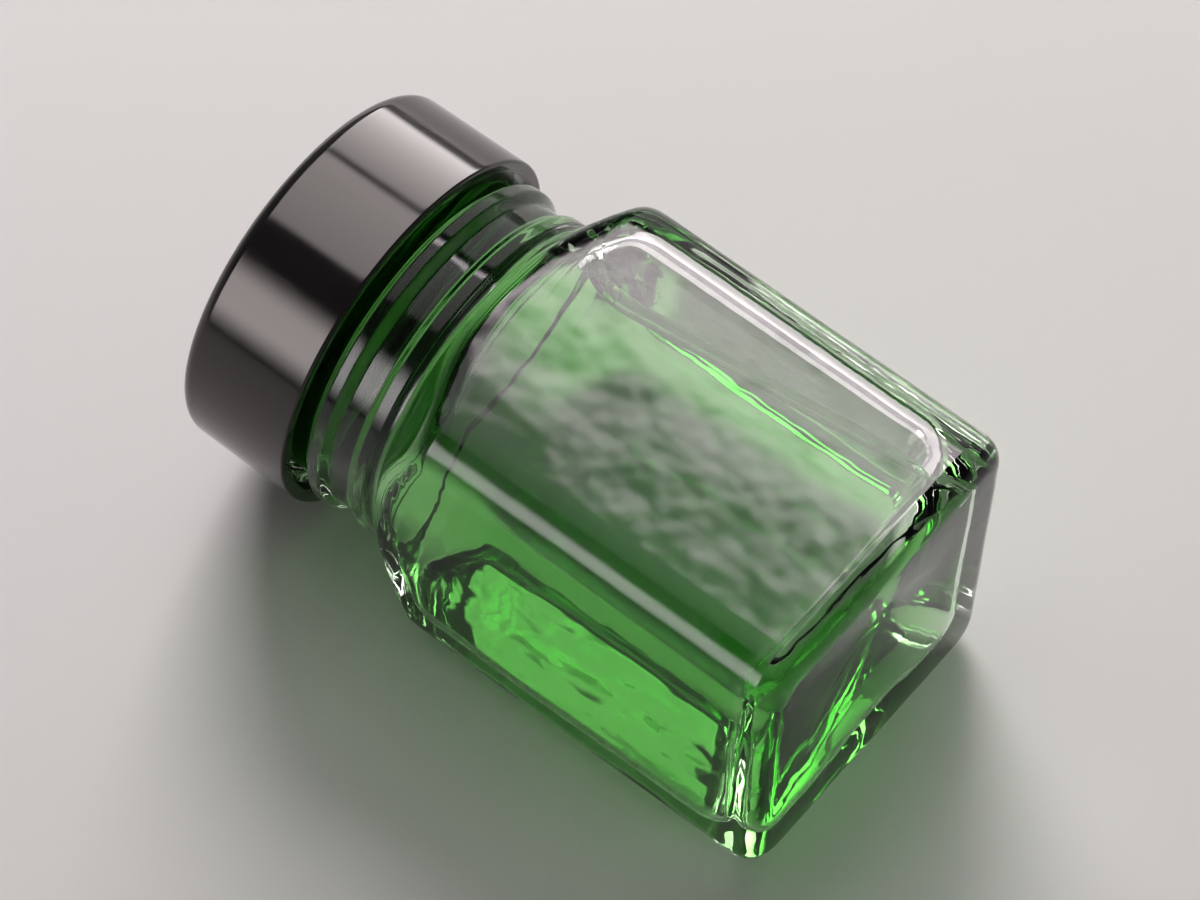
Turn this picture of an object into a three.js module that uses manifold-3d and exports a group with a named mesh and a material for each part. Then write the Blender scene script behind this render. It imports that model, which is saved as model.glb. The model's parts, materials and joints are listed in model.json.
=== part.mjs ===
// A wide-mouth square glass bottle lying on its side, nearly full of green liquid, with a
// black screw cap and the cap's two-layer liner. Millimetres, +Z up.
import * as THREE from 'three';
import { mergeVertices } from 'three/addons/utils/BufferGeometryUtils.js';
import Module from 'manifold-3d';

// Glass body. Heights run up from the base with the bottle standing.
const BODY_WIDTH = 38;
const LONG_EDGE_RADIUS = 4.5;
const HEEL_RADIUS = 2.8;
const SIDE_WALL = 2.4;
const INNER_EDGE_RADIUS = 4;
const BASE_THICKNESS = 4.2;
const INNER_HEEL_RADIUS = 4.5;
const PUSH_UP_DIAMETER = 24;
const PUSH_UP_DEPTH = 0.9;

// Shoulder: a cone that rounds over the long edges and cuts an arc into each flat side
const SHOULDER_TOP = 49.6;
const SHOULDER_SLOPE = THREE.MathUtils.degToRad(37);
const SHOULDER_EDGE_RADIUS = 6;
const SHOULDER_WALL = 2.8;
const INNER_NECK_FILLET = 3;
const ARC_BLEND = 1.6;

// Neck, from the shoulder up to the lip
const NECK_DIAMETER = 36;
const NECK_LENGTH = 19.3;
const COLLAR_DIAMETER = 37.4;
const COLLAR_HEIGHT = 1.4;
const BEAD_DIAMETER = 38;
const BEAD_HEIGHT = 1.4;
const BEAD_BELOW_LIP = 11.7;
const RING_FLANK = 0.8;
const RING_FILLET = 0.5;
const FINISH_DIAMETER = 35.1;
const MOUTH_BORE = 29.5;
const LIP_RADIUS = 0.9;

// Screw cap
const THREAD_SPACE = 1.55;
const CAP_WALL = 1.4;
const CAP_DRAFT = 0.2;
const CAP_SKIRT_BELOW_LIP = 9.9;
const CAP_RIM_RADIUS = 0.35;
const CROWN_THICKNESS = 1.6;
const CROWN_EDGE_RADIUS = 1.5;

// Liner: a pulpboard wad held in the crown and a loose facing disc on the glass lip
const WAD_THICKNESS = 0.9;
const WAD_CLEARANCE = 0.75;
const FACING_THICKNESS = 0.4;
const FACING_OVERHANG = 0.1;
const SEAT_GAP = 0.3;

// Contents: the liquid fills the hollow but for one long air bubble, which lies under the
// upper side along its far edge, with a level underside, and widens towards the shoulder
const LIQUID_GAP = 0.3;
const BUBBLE_WIDTH = 8;
const BUBBLE_DEPTH = 4.2;
const BUBBLE_REACH = 21;
const BUBBLE_TAPER = THREE.MathUtils.degToRad(6);
const BUBBLE_NOSE = 1.8;
const BUBBLE_END_RADIUS = 5;

// Mesh fineness
const FLAT_STEPS = 10;
const EDGE_STEPS = 4;
const TURN_STEPS = 64;
const ARC_STEP = THREE.MathUtils.degToRad(30);
const SHOULDER_STEPS = 6;
const BUBBLE_STEPS = 3;

const bodyHalf = BODY_WIDTH / 2;
const innerHalf = bodyHalf - SIDE_WALL;
const neckRadius = NECK_DIAMETER / 2;
const finishRadius = FINISH_DIAMETER / 2;
const mouthRadius = MOUTH_BORE / 2;
const lipHeight = SHOULDER_TOP + NECK_LENGTH;
const capRimHeight = lipHeight - CAP_SKIRT_BELOW_LIP;
const capBoreRadius = finishRadius + THREAD_SPACE;
const capRadius = capBoreRadius + CAP_WALL;
const facingHeight = lipHeight + SEAT_GAP;
const wadHeight = facingHeight + FACING_THICKNESS + SEAT_GAP;
const ceilingHeight = wadHeight + WAD_THICKNESS + SEAT_GAP;
const crownHeight = ceilingHeight + CROWN_THICKNESS;

// The cap is wider than the body, so the lying bottle rests on its lower heel and the cap's rim
const restRise = Math.max(capRadius - bodyHalf, 0);
const restTilt = Math.atan2(restRise, capRimHeight + CAP_RIM_RADIUS - HEEL_RADIUS);

// Points through corners given as [radius, height, fillet radius], each fillet drawn as an arc
function filleted(corners) {
  const points = [];
  corners.forEach(([radius, height, fillet = 0], index) => {
    const corner = new THREE.Vector2(radius, height);
    if (fillet === 0) {
      points.push(corner);
      return;
    }
    const back = new THREE.Vector2(...corners[index - 1].slice(0, 2)).sub(corner);
    const ahead = new THREE.Vector2(...corners[index + 1].slice(0, 2)).sub(corner);
    const halfAngle = Math.acos(back.dot(ahead) / (back.length() * ahead.length())) / 2;
    const room = Math.min(back.length(), ahead.length()) / 2;
    const run = Math.min(fillet / Math.tan(halfAngle), room);
    const arcRadius = run * Math.tan(halfAngle);
    const start = back.setLength(run);
    const end = ahead.setLength(run);
    const centre = start.clone().add(end).setLength(arcRadius / Math.sin(halfAngle));
    const from = start.sub(centre);
    const to = end.sub(centre);
    const clockwise = from.cross(to) < 0;
    centre.add(corner);
    const arc = new THREE.EllipseCurve(
      centre.x, centre.y, arcRadius, arcRadius, from.angle(), to.angle(), clockwise,
    );
    const sweep = Math.PI - 2 * halfAngle;
    points.push(...arc.getPoints(Math.max(2, Math.ceil(sweep / ARC_STEP))));
  });
  return points;
}

// A turned piece: its half profile, from axis to axis, revolved about +Z
function turned(corners) {
  return new THREE.LatheGeometry(filleted(corners), TURN_STEPS).rotateX(Math.PI / 2);
}

// Distance from the axis to a rounded square, along a direction folded into an eighth of it
function squareReach(angle, half, edgeRadius) {
  const quarter = Math.PI / 2;
  const folded = Math.abs(angle - quarter * Math.round(angle / quarter));
  const along = Math.cos(folded);
  const across = Math.sin(folded);
  const flat = half - edgeRadius;
  if (half * across <= flat * along) {
    return half / along;
  }
  return flat * (along + across) + Math.sqrt(edgeRadius ** 2 - (flat * (along - across)) ** 2);
}

// The smaller of two distances, eased over the blend width where they are close
function softMin(first, second) {
  const closeness = Math.max(ARC_BLEND - Math.abs(first - second), 0) / ARC_BLEND;
  return Math.min(first, second) - closeness ** 2 * ARC_BLEND / 4;
}

// Directions of one ring's points: even steps along each flat side and round each long edge
function ringAngles() {
  const flat = bodyHalf - LONG_EDGE_RADIUS;
  const angles = [];
  for (let side = 0; side < 4; side += 1) {
    const facing = side * Math.PI / 2;
    for (let step = 0; step < FLAT_STEPS; step += 1) {
      angles.push(facing + Math.atan2(flat * (2 * step / FLAT_STEPS - 1), bodyHalf));
    }
    for (let step = 0; step < EDGE_STEPS; step += 1) {
      const turn = step / EDGE_STEPS * Math.PI / 2;
      const across = flat + LONG_EDGE_RADIUS * Math.sin(turn);
      const along = flat + LONG_EDGE_RADIUS * Math.cos(turn);
      angles.push(facing + Math.atan2(across, along));
    }
  }
  return angles;
}

// A level ring of the bottle: round, square with rounded corners, or where both meet
function roundRing(radius, height) {
  return { height, reach: () => radius };
}

function squareRing(half, edgeRadius, height) {
  return { height, reach: (angle) => squareReach(angle, half, edgeRadius) };
}

function shoulderRing(radius, half, edgeRadius, height) {
  return { height, reach: (angle) => softMin(radius, squareReach(angle, half, edgeRadius)) };
}

// A closed skin over a stack of rings, with a point on the axis at each end
function skin(startHeight, rings, endHeight) {
  const angles = ringAngles();
  const count = angles.length;
  const positions = [0, 0, startHeight];
  rings.forEach((ring) => angles.forEach((angle) => {
    const reach = ring.reach(angle);
    positions.push(reach * Math.cos(angle), reach * Math.sin(angle), ring.height);
  }));
  positions.push(0, 0, endHeight);
  const last = rings.length - 1;
  const endPoint = rings.length * count + 1;
  const at = (ring, step) => 1 + ring * count + step % count;
  const index = [];
  for (let step = 0; step < count; step += 1) {
    index.push(0, at(0, step + 1), at(0, step));
    for (let ring = 0; ring < last; ring += 1) {
      index.push(at(ring, step), at(ring, step + 1), at(ring + 1, step));
      index.push(at(ring, step + 1), at(ring + 1, step + 1), at(ring + 1, step));
    }
    index.push(endPoint, at(last, step), at(last, step + 1));
  }
  const geometry = new THREE.BufferGeometry();
  geometry.setAttribute('position', new THREE.Float32BufferAttribute(positions, 3));
  geometry.setIndex(index);
  return geometry;
}

// Square rings round the bottom of a prism, from its flat end up round its lower edge
function heelRings(half, edgeRadius, heelRadius, bottom) {
  const steps = Math.ceil(Math.PI / 2 / ARC_STEP) + 1;
  const rings = [];
  for (let step = 0; step <= steps; step += 1) {
    const turn = step / steps * Math.PI / 2;
    const inset = heelRadius * (1 - Math.sin(turn));
    const rise = heelRadius * (1 - Math.cos(turn));
    const corner = Math.max(edgeRadius - inset, edgeRadius / 4);
    rings.push(squareRing(half - inset, corner, bottom + rise));
  }
  return rings;
}

// Shoulder rings from the straight sides up to a neck, with its cone divided evenly
function shoulderRings(half, edgeRadius, slopeRadius, neckPoint, neckFillet) {
  const outside = (half - edgeRadius) * Math.SQRT2 + edgeRadius + ARC_BLEND;
  const drop = (outside - neckPoint.x) * Math.tan(SHOULDER_SLOPE);
  const points = filleted([
    [outside, 0],
    [outside, neckPoint.y - drop, slopeRadius],
    [neckPoint.x, neckPoint.y, neckFillet],
    [neckPoint.x, neckPoint.y + NECK_LENGTH],
  ]).slice(1, -1);
  const rings = [];
  points.forEach((point, index) => {
    const next = points[index + 1] ?? point;
    const onCone = point.distanceTo(next) > slopeRadius * ARC_STEP;
    const steps = onCone ? SHOULDER_STEPS : 1;
    for (let step = 0; step < steps; step += 1) {
      const place = point.clone().lerp(next, step / steps);
      rings.push(shoulderRing(place.x, half, edgeRadius, place.y));
    }
  });
  return rings;
}

// Rings inside the bottle, from the floor to the mouth, drawn in by a gap all round
function cavityRings(gap) {
  const half = innerHalf - gap;
  const edge = INNER_EDGE_RADIUS;
  const mouth = mouthRadius - gap;
  const thickness = (SHOULDER_WALL + gap) / Math.cos(SHOULDER_SLOPE);
  const rise = (neckRadius - mouth) * Math.tan(SHOULDER_SLOPE);
  const neckPoint = new THREE.Vector2(mouth, SHOULDER_TOP + rise - thickness);
  return [
    ...heelRings(half, edge, INNER_HEEL_RADIUS, BASE_THICKNESS + gap),
    ...shoulderRings(half, edge, SHOULDER_EDGE_RADIUS, neckPoint, INNER_NECK_FILLET),
  ];
}

// The moulded glass: base, square body, shoulder, ringed neck, lip and the hollow inside
function glassGeometry() {
  const pushUpRadius = PUSH_UP_DIAMETER / 2;
  const pushUp = [1 / 3, 2 / 3, 1].map((share) => (
    roundRing(share * pushUpRadius, PUSH_UP_DEPTH * (1 - share ** 2))
  ));
  const collarRadius = COLLAR_DIAMETER / 2;
  const beadRadius = BEAD_DIAMETER / 2;
  const collarFoot = SHOULDER_TOP + RING_FLANK;
  const beadTop = lipHeight - BEAD_BELOW_LIP;
  const neckLine = filleted([
    [neckRadius, SHOULDER_TOP],
    [collarRadius, collarFoot, RING_FILLET],
    [collarRadius, collarFoot + COLLAR_HEIGHT, RING_FILLET],
    [neckRadius, collarFoot + COLLAR_HEIGHT + RING_FLANK, RING_FILLET],
    [neckRadius, beadTop - BEAD_HEIGHT - RING_FLANK, RING_FILLET],
    [beadRadius, beadTop - BEAD_HEIGHT, RING_FILLET],
    [beadRadius, beadTop, RING_FILLET],
    [finishRadius, beadTop + RING_FLANK, RING_FILLET],
    [finishRadius, lipHeight, LIP_RADIUS],
    [mouthRadius, lipHeight, LIP_RADIUS],
    [mouthRadius, SHOULDER_TOP],
  ]).slice(1, -1);
  const neckPoint = new THREE.Vector2(neckRadius, SHOULDER_TOP);
  const rings = [
    ...pushUp,
    ...heelRings(bodyHalf, LONG_EDGE_RADIUS, HEEL_RADIUS, 0),
    ...shoulderRings(bodyHalf, LONG_EDGE_RADIUS, SHOULDER_EDGE_RADIUS, neckPoint, 0),
    ...neckLine.map((point) => roundRing(point.x, point.y)),
    ...cavityRings(0).reverse(),
  ];
  return skin(PUSH_UP_DEPTH, rings, BASE_THICKNESS);
}

// The cap: a drafted skirt with a rounded crown, hollow for the threaded neck and the liner
function capGeometry() {
  const crownRadius = capRadius - CAP_DRAFT;
  return turned([
    [0, ceilingHeight],
    [capBoreRadius, ceilingHeight],
    [capBoreRadius, capRimHeight],
    [capRadius, capRimHeight, CAP_RIM_RADIUS],
    [crownRadius, crownHeight, CROWN_EDGE_RADIUS],
    [0, crownHeight],
  ]);
}

// A flat liner disc
function discGeometry(radius, height, thickness) {
  return turned([
    [0, height],
    [radius, height],
    [radius, height + thickness],
    [0, height + thickness],
  ]);
}

// A solid from a closed geometry, and a geometry from a solid
function solidFrom(wasm, geometry) {
  geometry.deleteAttribute('normal');
  geometry.deleteAttribute('uv');
  const merged = mergeVertices(geometry);
  return new wasm.Manifold(new wasm.Mesh({
    numProp: 3,
    vertProperties: new Float32Array(merged.attributes.position.array),
    triVerts: new Uint32Array(merged.index.array),
  }));
}

function geometryFrom(solid) {
  const mesh = solid.getMesh();
  const geometry = new THREE.BufferGeometry();
  geometry.setAttribute('position', new THREE.BufferAttribute(mesh.vertProperties, 3));
  geometry.setIndex(new THREE.BufferAttribute(mesh.triVerts, 1));
  return geometry;
}

// The air bubble as it lies on the ground: a rounded slab that runs out through the far wall
function bubbleGeometry(lyingMatrix) {
  const outline = filleted([
    [BODY_WIDTH, BODY_WIDTH],
    [-BUBBLE_REACH, BODY_WIDTH],
    [-BUBBLE_REACH, 0, BUBBLE_END_RADIUS],
    [BODY_WIDTH, 0],
  ]);
  const slab = new THREE.ExtrudeGeometry(new THREE.Shape(outline), {
    depth: BODY_WIDTH,
    bevelThickness: BUBBLE_NOSE,
    bevelSize: BUBBLE_NOSE,
    bevelOffset: -BUBBLE_NOSE,
    bevelSegments: BUBBLE_STEPS,
  });
  slab.translate(0, 0, BUBBLE_NOSE - BUBBLE_DEPTH);
  slab.rotateZ(BUBBLE_TAPER);
  const nearSide = new THREE.Vector3(innerHalf, innerHalf - BUBBLE_WIDTH, SHOULDER_TOP / 2);
  const middle = nearSide.applyMatrix4(lyingMatrix);
  return slab.translate(middle.x, middle.y, middle.z);
}

// The liquid: the hollow, a little smaller all round, without its air bubble
function liquidGeometry(wasm, lyingMatrix) {
  const filled = skin(
    BASE_THICKNESS + LIQUID_GAP,
    [...cavityRings(LIQUID_GAP), roundRing(mouthRadius - LIQUID_GAP, lipHeight)],
    lipHeight,
  );
  const bubble = bubbleGeometry(lyingMatrix).applyMatrix4(lyingMatrix.clone().invert());
  return geometryFrom(solidFrom(wasm, filled).subtract(solidFrom(wasm, bubble)));
}

function piece(name, geometry, look) {
  const mesh = new THREE.Mesh(geometry, new THREE.MeshStandardMaterial(look));
  mesh.name = name;
  return mesh;
}

const wasm = await Module();
wasm.setup();

// The standing bottle turned onto its side, cap towards -X, and set down on the ground
const lying = new THREE.Group();
lying.rotation.y = restTilt - Math.PI / 2;
lying.add(piece('glass_bottle', glassGeometry(), {
  color: '#dfe6e0', roughness: 0.05, metalness: 0, transparent: true, opacity: 0.35,
}));
lying.add(piece('screw_cap', capGeometry(), {
  color: '#161416', roughness: 0.25, metalness: 0,
}));
lying.add(piece('liner_wad', discGeometry(capBoreRadius - WAD_CLEARANCE, wadHeight, WAD_THICKNESS), {
  color: '#b39c78', roughness: 0.9, metalness: 0,
}));
lying.add(piece(
  'liner_facing',
  discGeometry(finishRadius + FACING_OVERHANG, facingHeight, FACING_THICKNESS),
  { color: '#efece4', roughness: 0.45, metalness: 0 },
));
const extent = new THREE.Box3().setFromObject(lying, true);
lying.position.set(-(extent.min.x + extent.max.x) / 2, 0, -extent.min.z);
lying.updateMatrixWorld(true);
lying.add(piece('green_liquid', liquidGeometry(wasm, lying.matrixWorld), {
  color: '#3fae3a', roughness: 0.05, metalness: 0, transparent: true, opacity: 0.75,
}));

const bottle = new THREE.Group();
bottle.add(lying);

export default bottle;
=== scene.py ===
"""Looks of a square wide-mouth glass bottle that lies on its side, nearly full of green liquid.

Each piece is shaped standing upright about its own axis, with heights above the base, and is then
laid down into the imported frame, where it rides on its body and stands for its plain solid.
"""
import json
import logging
import math
from dataclasses import dataclass, field, replace
from enum import Enum
from typing import Any, Union

import bpy
import numpy as np
from mathutils import Matrix, Vector


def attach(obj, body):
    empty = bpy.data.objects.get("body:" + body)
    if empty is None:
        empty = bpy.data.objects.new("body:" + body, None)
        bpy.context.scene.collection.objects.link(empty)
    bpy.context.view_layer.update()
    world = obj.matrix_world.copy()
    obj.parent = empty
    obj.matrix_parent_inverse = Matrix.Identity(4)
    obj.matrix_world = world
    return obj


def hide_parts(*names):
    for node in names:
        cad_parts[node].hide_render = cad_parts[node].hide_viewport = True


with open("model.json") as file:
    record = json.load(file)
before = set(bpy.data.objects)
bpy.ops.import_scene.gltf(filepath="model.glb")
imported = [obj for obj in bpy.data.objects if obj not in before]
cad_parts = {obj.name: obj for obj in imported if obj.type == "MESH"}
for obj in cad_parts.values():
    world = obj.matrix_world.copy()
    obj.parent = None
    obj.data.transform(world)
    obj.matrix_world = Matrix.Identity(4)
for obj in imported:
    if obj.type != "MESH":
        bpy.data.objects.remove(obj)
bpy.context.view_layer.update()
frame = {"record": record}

# Lengths are in metres, FAR is past every piece, and LAMP_POWER is in watts for a square metre.
MM = 0.001
FAR = 1.0
ARC_STEP = math.radians(9)
FULL_TURN = 2 * math.pi
LEAST_EDGE_SHARE = 0.25
LAMP_POWER = 4.0
log = logging.getLogger("bottle")

Number = Union["Term", float, int]
Colour = tuple[float, float, float]
Stretch = tuple[float, float, float]
Point = tuple[float, float]


class Body(Enum):
    """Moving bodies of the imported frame."""

    BOTTLE = "bottle"
    FACING = "facing"
    WAD = "wad"
    CAP = "cap"


class Piece(Enum):
    """Names of the finished pieces."""

    GLASS = "moulded_glass"
    CONTENTS = "green_contents"
    CAP = "black_screw_cap"
    FACING = "white_facing_disc"
    WAD = "pulp_wad"


class Slot(Enum):
    """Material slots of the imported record."""

    CLEAR_GLASS = "clear_glass"
    GREEN_LIQUID = "green_liquid"
    BLACK_CAP = "black_cap"
    PULPBOARD = "pulpboard"
    WHITE_FACING = "white_facing"


class Term:
    """A node's socket that takes part in arithmetic: each operation adds a Math node."""

    def __init__(self, net: "NodeNet", socket: bpy.types.NodeSocket) -> None:
        """Wraps one socket of a tree."""
        self.net = net
        self.socket = socket

    def sibling(self, name: str) -> "Term":
        """Another output of the same node, by name."""
        return Term(self.net, self.net.find(self.socket.node.outputs, name))

    def math(self, operation: str, *others: Number) -> "Term":
        """This term, and any others, through a Math node."""
        return self.net.math(operation, self, *others)

    def __add__(self, other: Number) -> "Term":
        """Sum."""
        return self.net.math("ADD", self, other)

    def __radd__(self, other: Number) -> "Term":
        """Sum with a number on the left."""
        return self.net.math("ADD", other, self)

    def __sub__(self, other: Number) -> "Term":
        """Difference."""
        return self.net.math("SUBTRACT", self, other)

    def __rsub__(self, other: Number) -> "Term":
        """Difference from a number on the left."""
        return self.net.math("SUBTRACT", other, self)

    def __mul__(self, other: Number) -> "Term":
        """Product."""
        return self.net.math("MULTIPLY", self, other)

    def __rmul__(self, other: Number) -> "Term":
        """Product with a number on the left."""
        return self.net.math("MULTIPLY", other, self)

    def __truediv__(self, other: Number) -> "Term":
        """Quotient."""
        return self.net.math("DIVIDE", self, other)

    def __abs__(self) -> "Term":
        """Size without its sign."""
        return self.net.math("ABSOLUTE", self)

    def eased(self) -> "Term":
        """Clamped to 0 and 1, with a smooth start and end."""
        held = self.net.math("MINIMUM", self.net.math("MAXIMUM", self, 0), 1)
        return held * held * (3 - 2 * held)


class NodeNet:
    """A node tree while it is being built."""

    def __init__(self, tree: bpy.types.NodeTree) -> None:
        """Starts on a tree, which may hold nodes already."""
        self.tree = tree
        self.entry: bpy.types.Node | None = None

    @staticmethod
    def find(sockets: Any, key: str | int) -> bpy.types.NodeSocket:
        """One socket of a node.

        Args:
            sockets: The node's inputs or outputs.
            key: The socket's place, identifier or name.

        Returns:
            The socket that answers to the key.
        """
        if isinstance(key, int):
            return sockets[key]
        for socket in sockets:
            if socket.identifier == key:
                return socket
        return next(s for s in sockets if s.name == key and s.enabled)

    def node(
        self,
        kind: str,
        settings: dict[str, Any] | None = None,
        sockets: dict[str | int, Any] | None = None,
        out: str | int = 0,
    ) -> Term:
        """Adds one node.

        Args:
            kind: The node's type.
            settings: Its own settings, set first.
            sockets: Values for its inputs, or terms that are linked to them.
            out: Which of its outputs is wanted.

        Returns:
            That output.
        """
        node = self.tree.nodes.new(kind)
        for key, value in (settings or {}).items():
            setattr(node, key, value)
        for key, value in (sockets or {}).items():
            socket = self.find(node.inputs, key)
            if isinstance(value, Term):
                self.tree.links.new(value.socket, socket)
            else:
                socket.default_value = value
        return Term(self, self.find(node.outputs, out))

    def math(self, operation: str, *terms: Number) -> Term:
        """Terms or numbers through a Math node."""
        return self.node("ShaderNodeMath", {"operation": operation}, dict(enumerate(terms)))

    def number(self, name: str) -> Term:
        """A number that the mesh carries, by name."""
        return self.node("ShaderNodeAttribute", {"attribute_name": name}, out="Fac")

    def input(self, name: str, kind: str) -> Term:
        """A named input of a geometry tree.

        Args:
            name: What the input is called.
            kind: Its socket's type.

        Returns:
            The input, for use inside the tree.
        """
        self.tree.interface.new_socket(name, in_out="INPUT", socket_type=kind)
        if self.entry is None:
            self.entry = self.tree.nodes.new("NodeGroupInput")
        return Term(self, self.find(self.entry.outputs, name))


class Finish:
    """What the finishes share: a fresh material, its coordinates and its surface."""

    name = "finish"

    def start(self) -> tuple[bpy.types.Material, NodeNet, Term]:
        """An empty material.

        Returns:
            The material, its tree and its Object coordinates.
        """
        material = bpy.data.materials.new(self.name)
        material.use_nodes = True
        material.node_tree.nodes.clear()
        net = NodeNet(material.node_tree)
        return material, net, net.node("ShaderNodeTexCoord", out="Object")

    @staticmethod
    def noise(net: NodeNet, place: Term, grain: float, detail: float = 2, seed: float = 0) -> Term:
        """A seeded noise.

        Args:
            net: The material's tree.
            place: Where it is read.
            grain: The size of its patches, in metres.
            detail: How many finer layers it has.
            seed: Which noise of that kind it is.

        Returns:
            Its value, about a half on average.
        """
        sockets = {"Vector": place, "Scale": 1 / grain, "Detail": detail, "W": seed}
        return net.node("ShaderNodeTexNoise", {"noise_dimensions": "4D"}, sockets)

    @staticmethod
    def blend(net: NodeNet, factor: Term, first: Colour, second: Colour) -> Term:
        """A colour between two, by a factor."""
        sockets = {"Factor_Float": factor, "A_Color": (*first, 1), "B_Color": (*second, 1)}
        return net.node("ShaderNodeMix", {"data_type": "RGBA"}, sockets, "Result_Color")

    @staticmethod
    def bump(net: NodeNet, height: Term, depth: float, strength: float) -> Term:
        """A normal bent by a height from 0 to 1 over a depth in metres."""
        sockets = {"Height": height, "Distance": depth, "Strength": strength}
        return net.node("ShaderNodeBump", {}, sockets)

    @staticmethod
    def finish(net: NodeNet, surface: Term, volume: Term | None = None) -> None:
        """Joins a material's parts to its output.

        Args:
            net: The material's tree.
            surface: The shader of its surface.
            volume: The shader of its inside, if it has one.
        """
        output = net.tree.nodes.new("ShaderNodeOutputMaterial")
        net.tree.links.new(surface.socket, output.inputs["Surface"])
        if volume is not None:
            net.tree.links.new(volume.socket, output.inputs["Volume"])


@dataclass(frozen=True)
class ClearGlass(Finish):
    """Colourless moulded glass, a little uneven, with faint smudges and a wetted inside.

    Droplets stand on the dry inside, up to droplet_band millimetres from the liquid.
    """

    name: str = "clear moulded glass"
    index: float = 1.52
    wetted_index: float = 1.52 / 1.34
    dry_by: str = "dry_by"
    pale: Colour = (0.99, 0.995, 0.992)
    tinted: Colour = (0.955, 0.975, 0.965)
    ripple: float = 7 * MM
    smudge: float = 4 * MM
    droplet: float = 0.55 * MM
    droplet_share: float = 0.3
    droplet_band: float = 2.3
    smudge_gain: float = 2.0
    smudge_cut: float = 0.9
    smudge_haze: float = 0.02
    bump_depth: float = 0.2 * MM
    bump_strength: float = 0.45

    def material(self) -> bpy.types.Material:
        """The glass as a material.

        Returns:
            The material, which bends light less where the liquid wets it.
        """
        material, net, place = self.start()
        ripple = self.noise(net, place, self.ripple)
        dry_by = net.number(self.dry_by)
        dry = dry_by.math("GREATER_THAN", 0)
        beaded = dry * dry_by.math("LESS_THAN", self.droplet_band)
        droplets = self.noise(net, place, self.droplet, detail=1, seed=6) * beaded * self.droplet_share
        smudge = self.noise(net, place, self.smudge, detail=3, seed=1)
        sockets = {
            "Base Color": self.blend(net, ripple, self.pale, self.tinted),
            "Roughness": self.smudge_haze * (smudge * self.smudge_gain - self.smudge_cut).eased(),
            "Transmission Weight": 1.0,
            "Normal": self.bump(net, ripple + droplets, self.bump_depth, self.bump_strength),
        }
        sides = {
            0: dry,
            1: net.node("ShaderNodeBsdfPrincipled", {}, {**sockets, "IOR": self.wetted_index}),
            2: net.node("ShaderNodeBsdfPrincipled", {}, {**sockets, "IOR": self.index}),
        }
        self.finish(net, net.node("ShaderNodeMixShader", {}, sides))
        return material


@dataclass(frozen=True)
class GreenLiquid(Finish):
    """Clear bright green liquid that deepens with the length of the light's way through it."""

    name: str = "clear green liquid"
    index: float = 1.34
    open_side: str = "open_side"
    pale: Colour = (0.995, 1.0, 0.995)
    swirl_colour: Colour = (0.95, 0.99, 0.95)
    swirl: float = 9 * MM
    passed: Colour = (0.237, 0.739, 0.103)
    density: float = 69.0

    def material(self) -> bpy.types.Material:
        """The liquid as a material.

        Returns:
            The material, which bends light only on its open side, towards the bubble.
        """
        material, net, place = self.start()
        swirl = self.noise(net, place, self.swirl)
        sockets = {
            "Base Color": self.blend(net, swirl, self.pale, self.swirl_colour),
            "Roughness": 0.0,
            "Transmission Weight": 1.0,
        }
        wetting = {**sockets, "IOR": 1.0}
        bare = {**sockets, "IOR": self.index}
        sides = {
            0: net.number(self.open_side),
            1: net.node("ShaderNodeBsdfPrincipled", {}, wetting),
            2: net.node("ShaderNodeBsdfPrincipled", {}, bare),
        }
        surface = net.node("ShaderNodeMixShader", {}, sides)
        depth = {"Color": (*self.passed, 1), "Density": self.density}
        self.finish(net, surface, net.node("ShaderNodeVolumeAbsorption", {}, depth))
        return material


@dataclass(frozen=True)
class GlossBlack(Finish):
    """Glossy black moulded plastic with faint handling marks."""

    name: str = "gloss black plastic"
    deep: Colour = (0.006, 0.005, 0.006)
    worn: Colour = (0.02, 0.018, 0.019)
    gloss_tint: Colour = (1.0, 0.94, 0.92)
    patch: float = 6 * MM
    scratch: float = 1.1 * MM
    scratch_lay: Stretch = (0.12, 1, 1)
    scratch_gain: float = 4.0
    scratch_cut: float = 2.2
    polish: float = 0.07
    patch_haze: float = 0.06
    scratch_haze: float = 0.1
    index: float = 1.6
    bump_depth: float = 0.05 * MM
    bump_strength: float = 0.25

    def material(self) -> bpy.types.Material:
        """The plastic as a material.

        Returns:
            The material, with scratches drawn out along the bottle.
        """
        material, net, place = self.start()
        patch = self.noise(net, place, self.patch, detail=4)
        drawn = net.node("ShaderNodeMapping", {}, {"Vector": place, "Scale": self.scratch_lay})
        scratch = self.noise(net, drawn, self.scratch, detail=3, seed=2)
        marks = (scratch * self.scratch_gain - self.scratch_cut).eased()
        sockets = {
            "Base Color": self.blend(net, patch, self.deep, self.worn),
            "Roughness": self.polish + self.patch_haze * patch + self.scratch_haze * marks,
            "IOR": self.index,
            "Specular Tint": (*self.gloss_tint, 1),
            "Normal": self.bump(net, patch, self.bump_depth, self.bump_strength),
        }
        self.finish(net, net.node("ShaderNodeBsdfPrincipled", {}, sockets))
        return material


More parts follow.
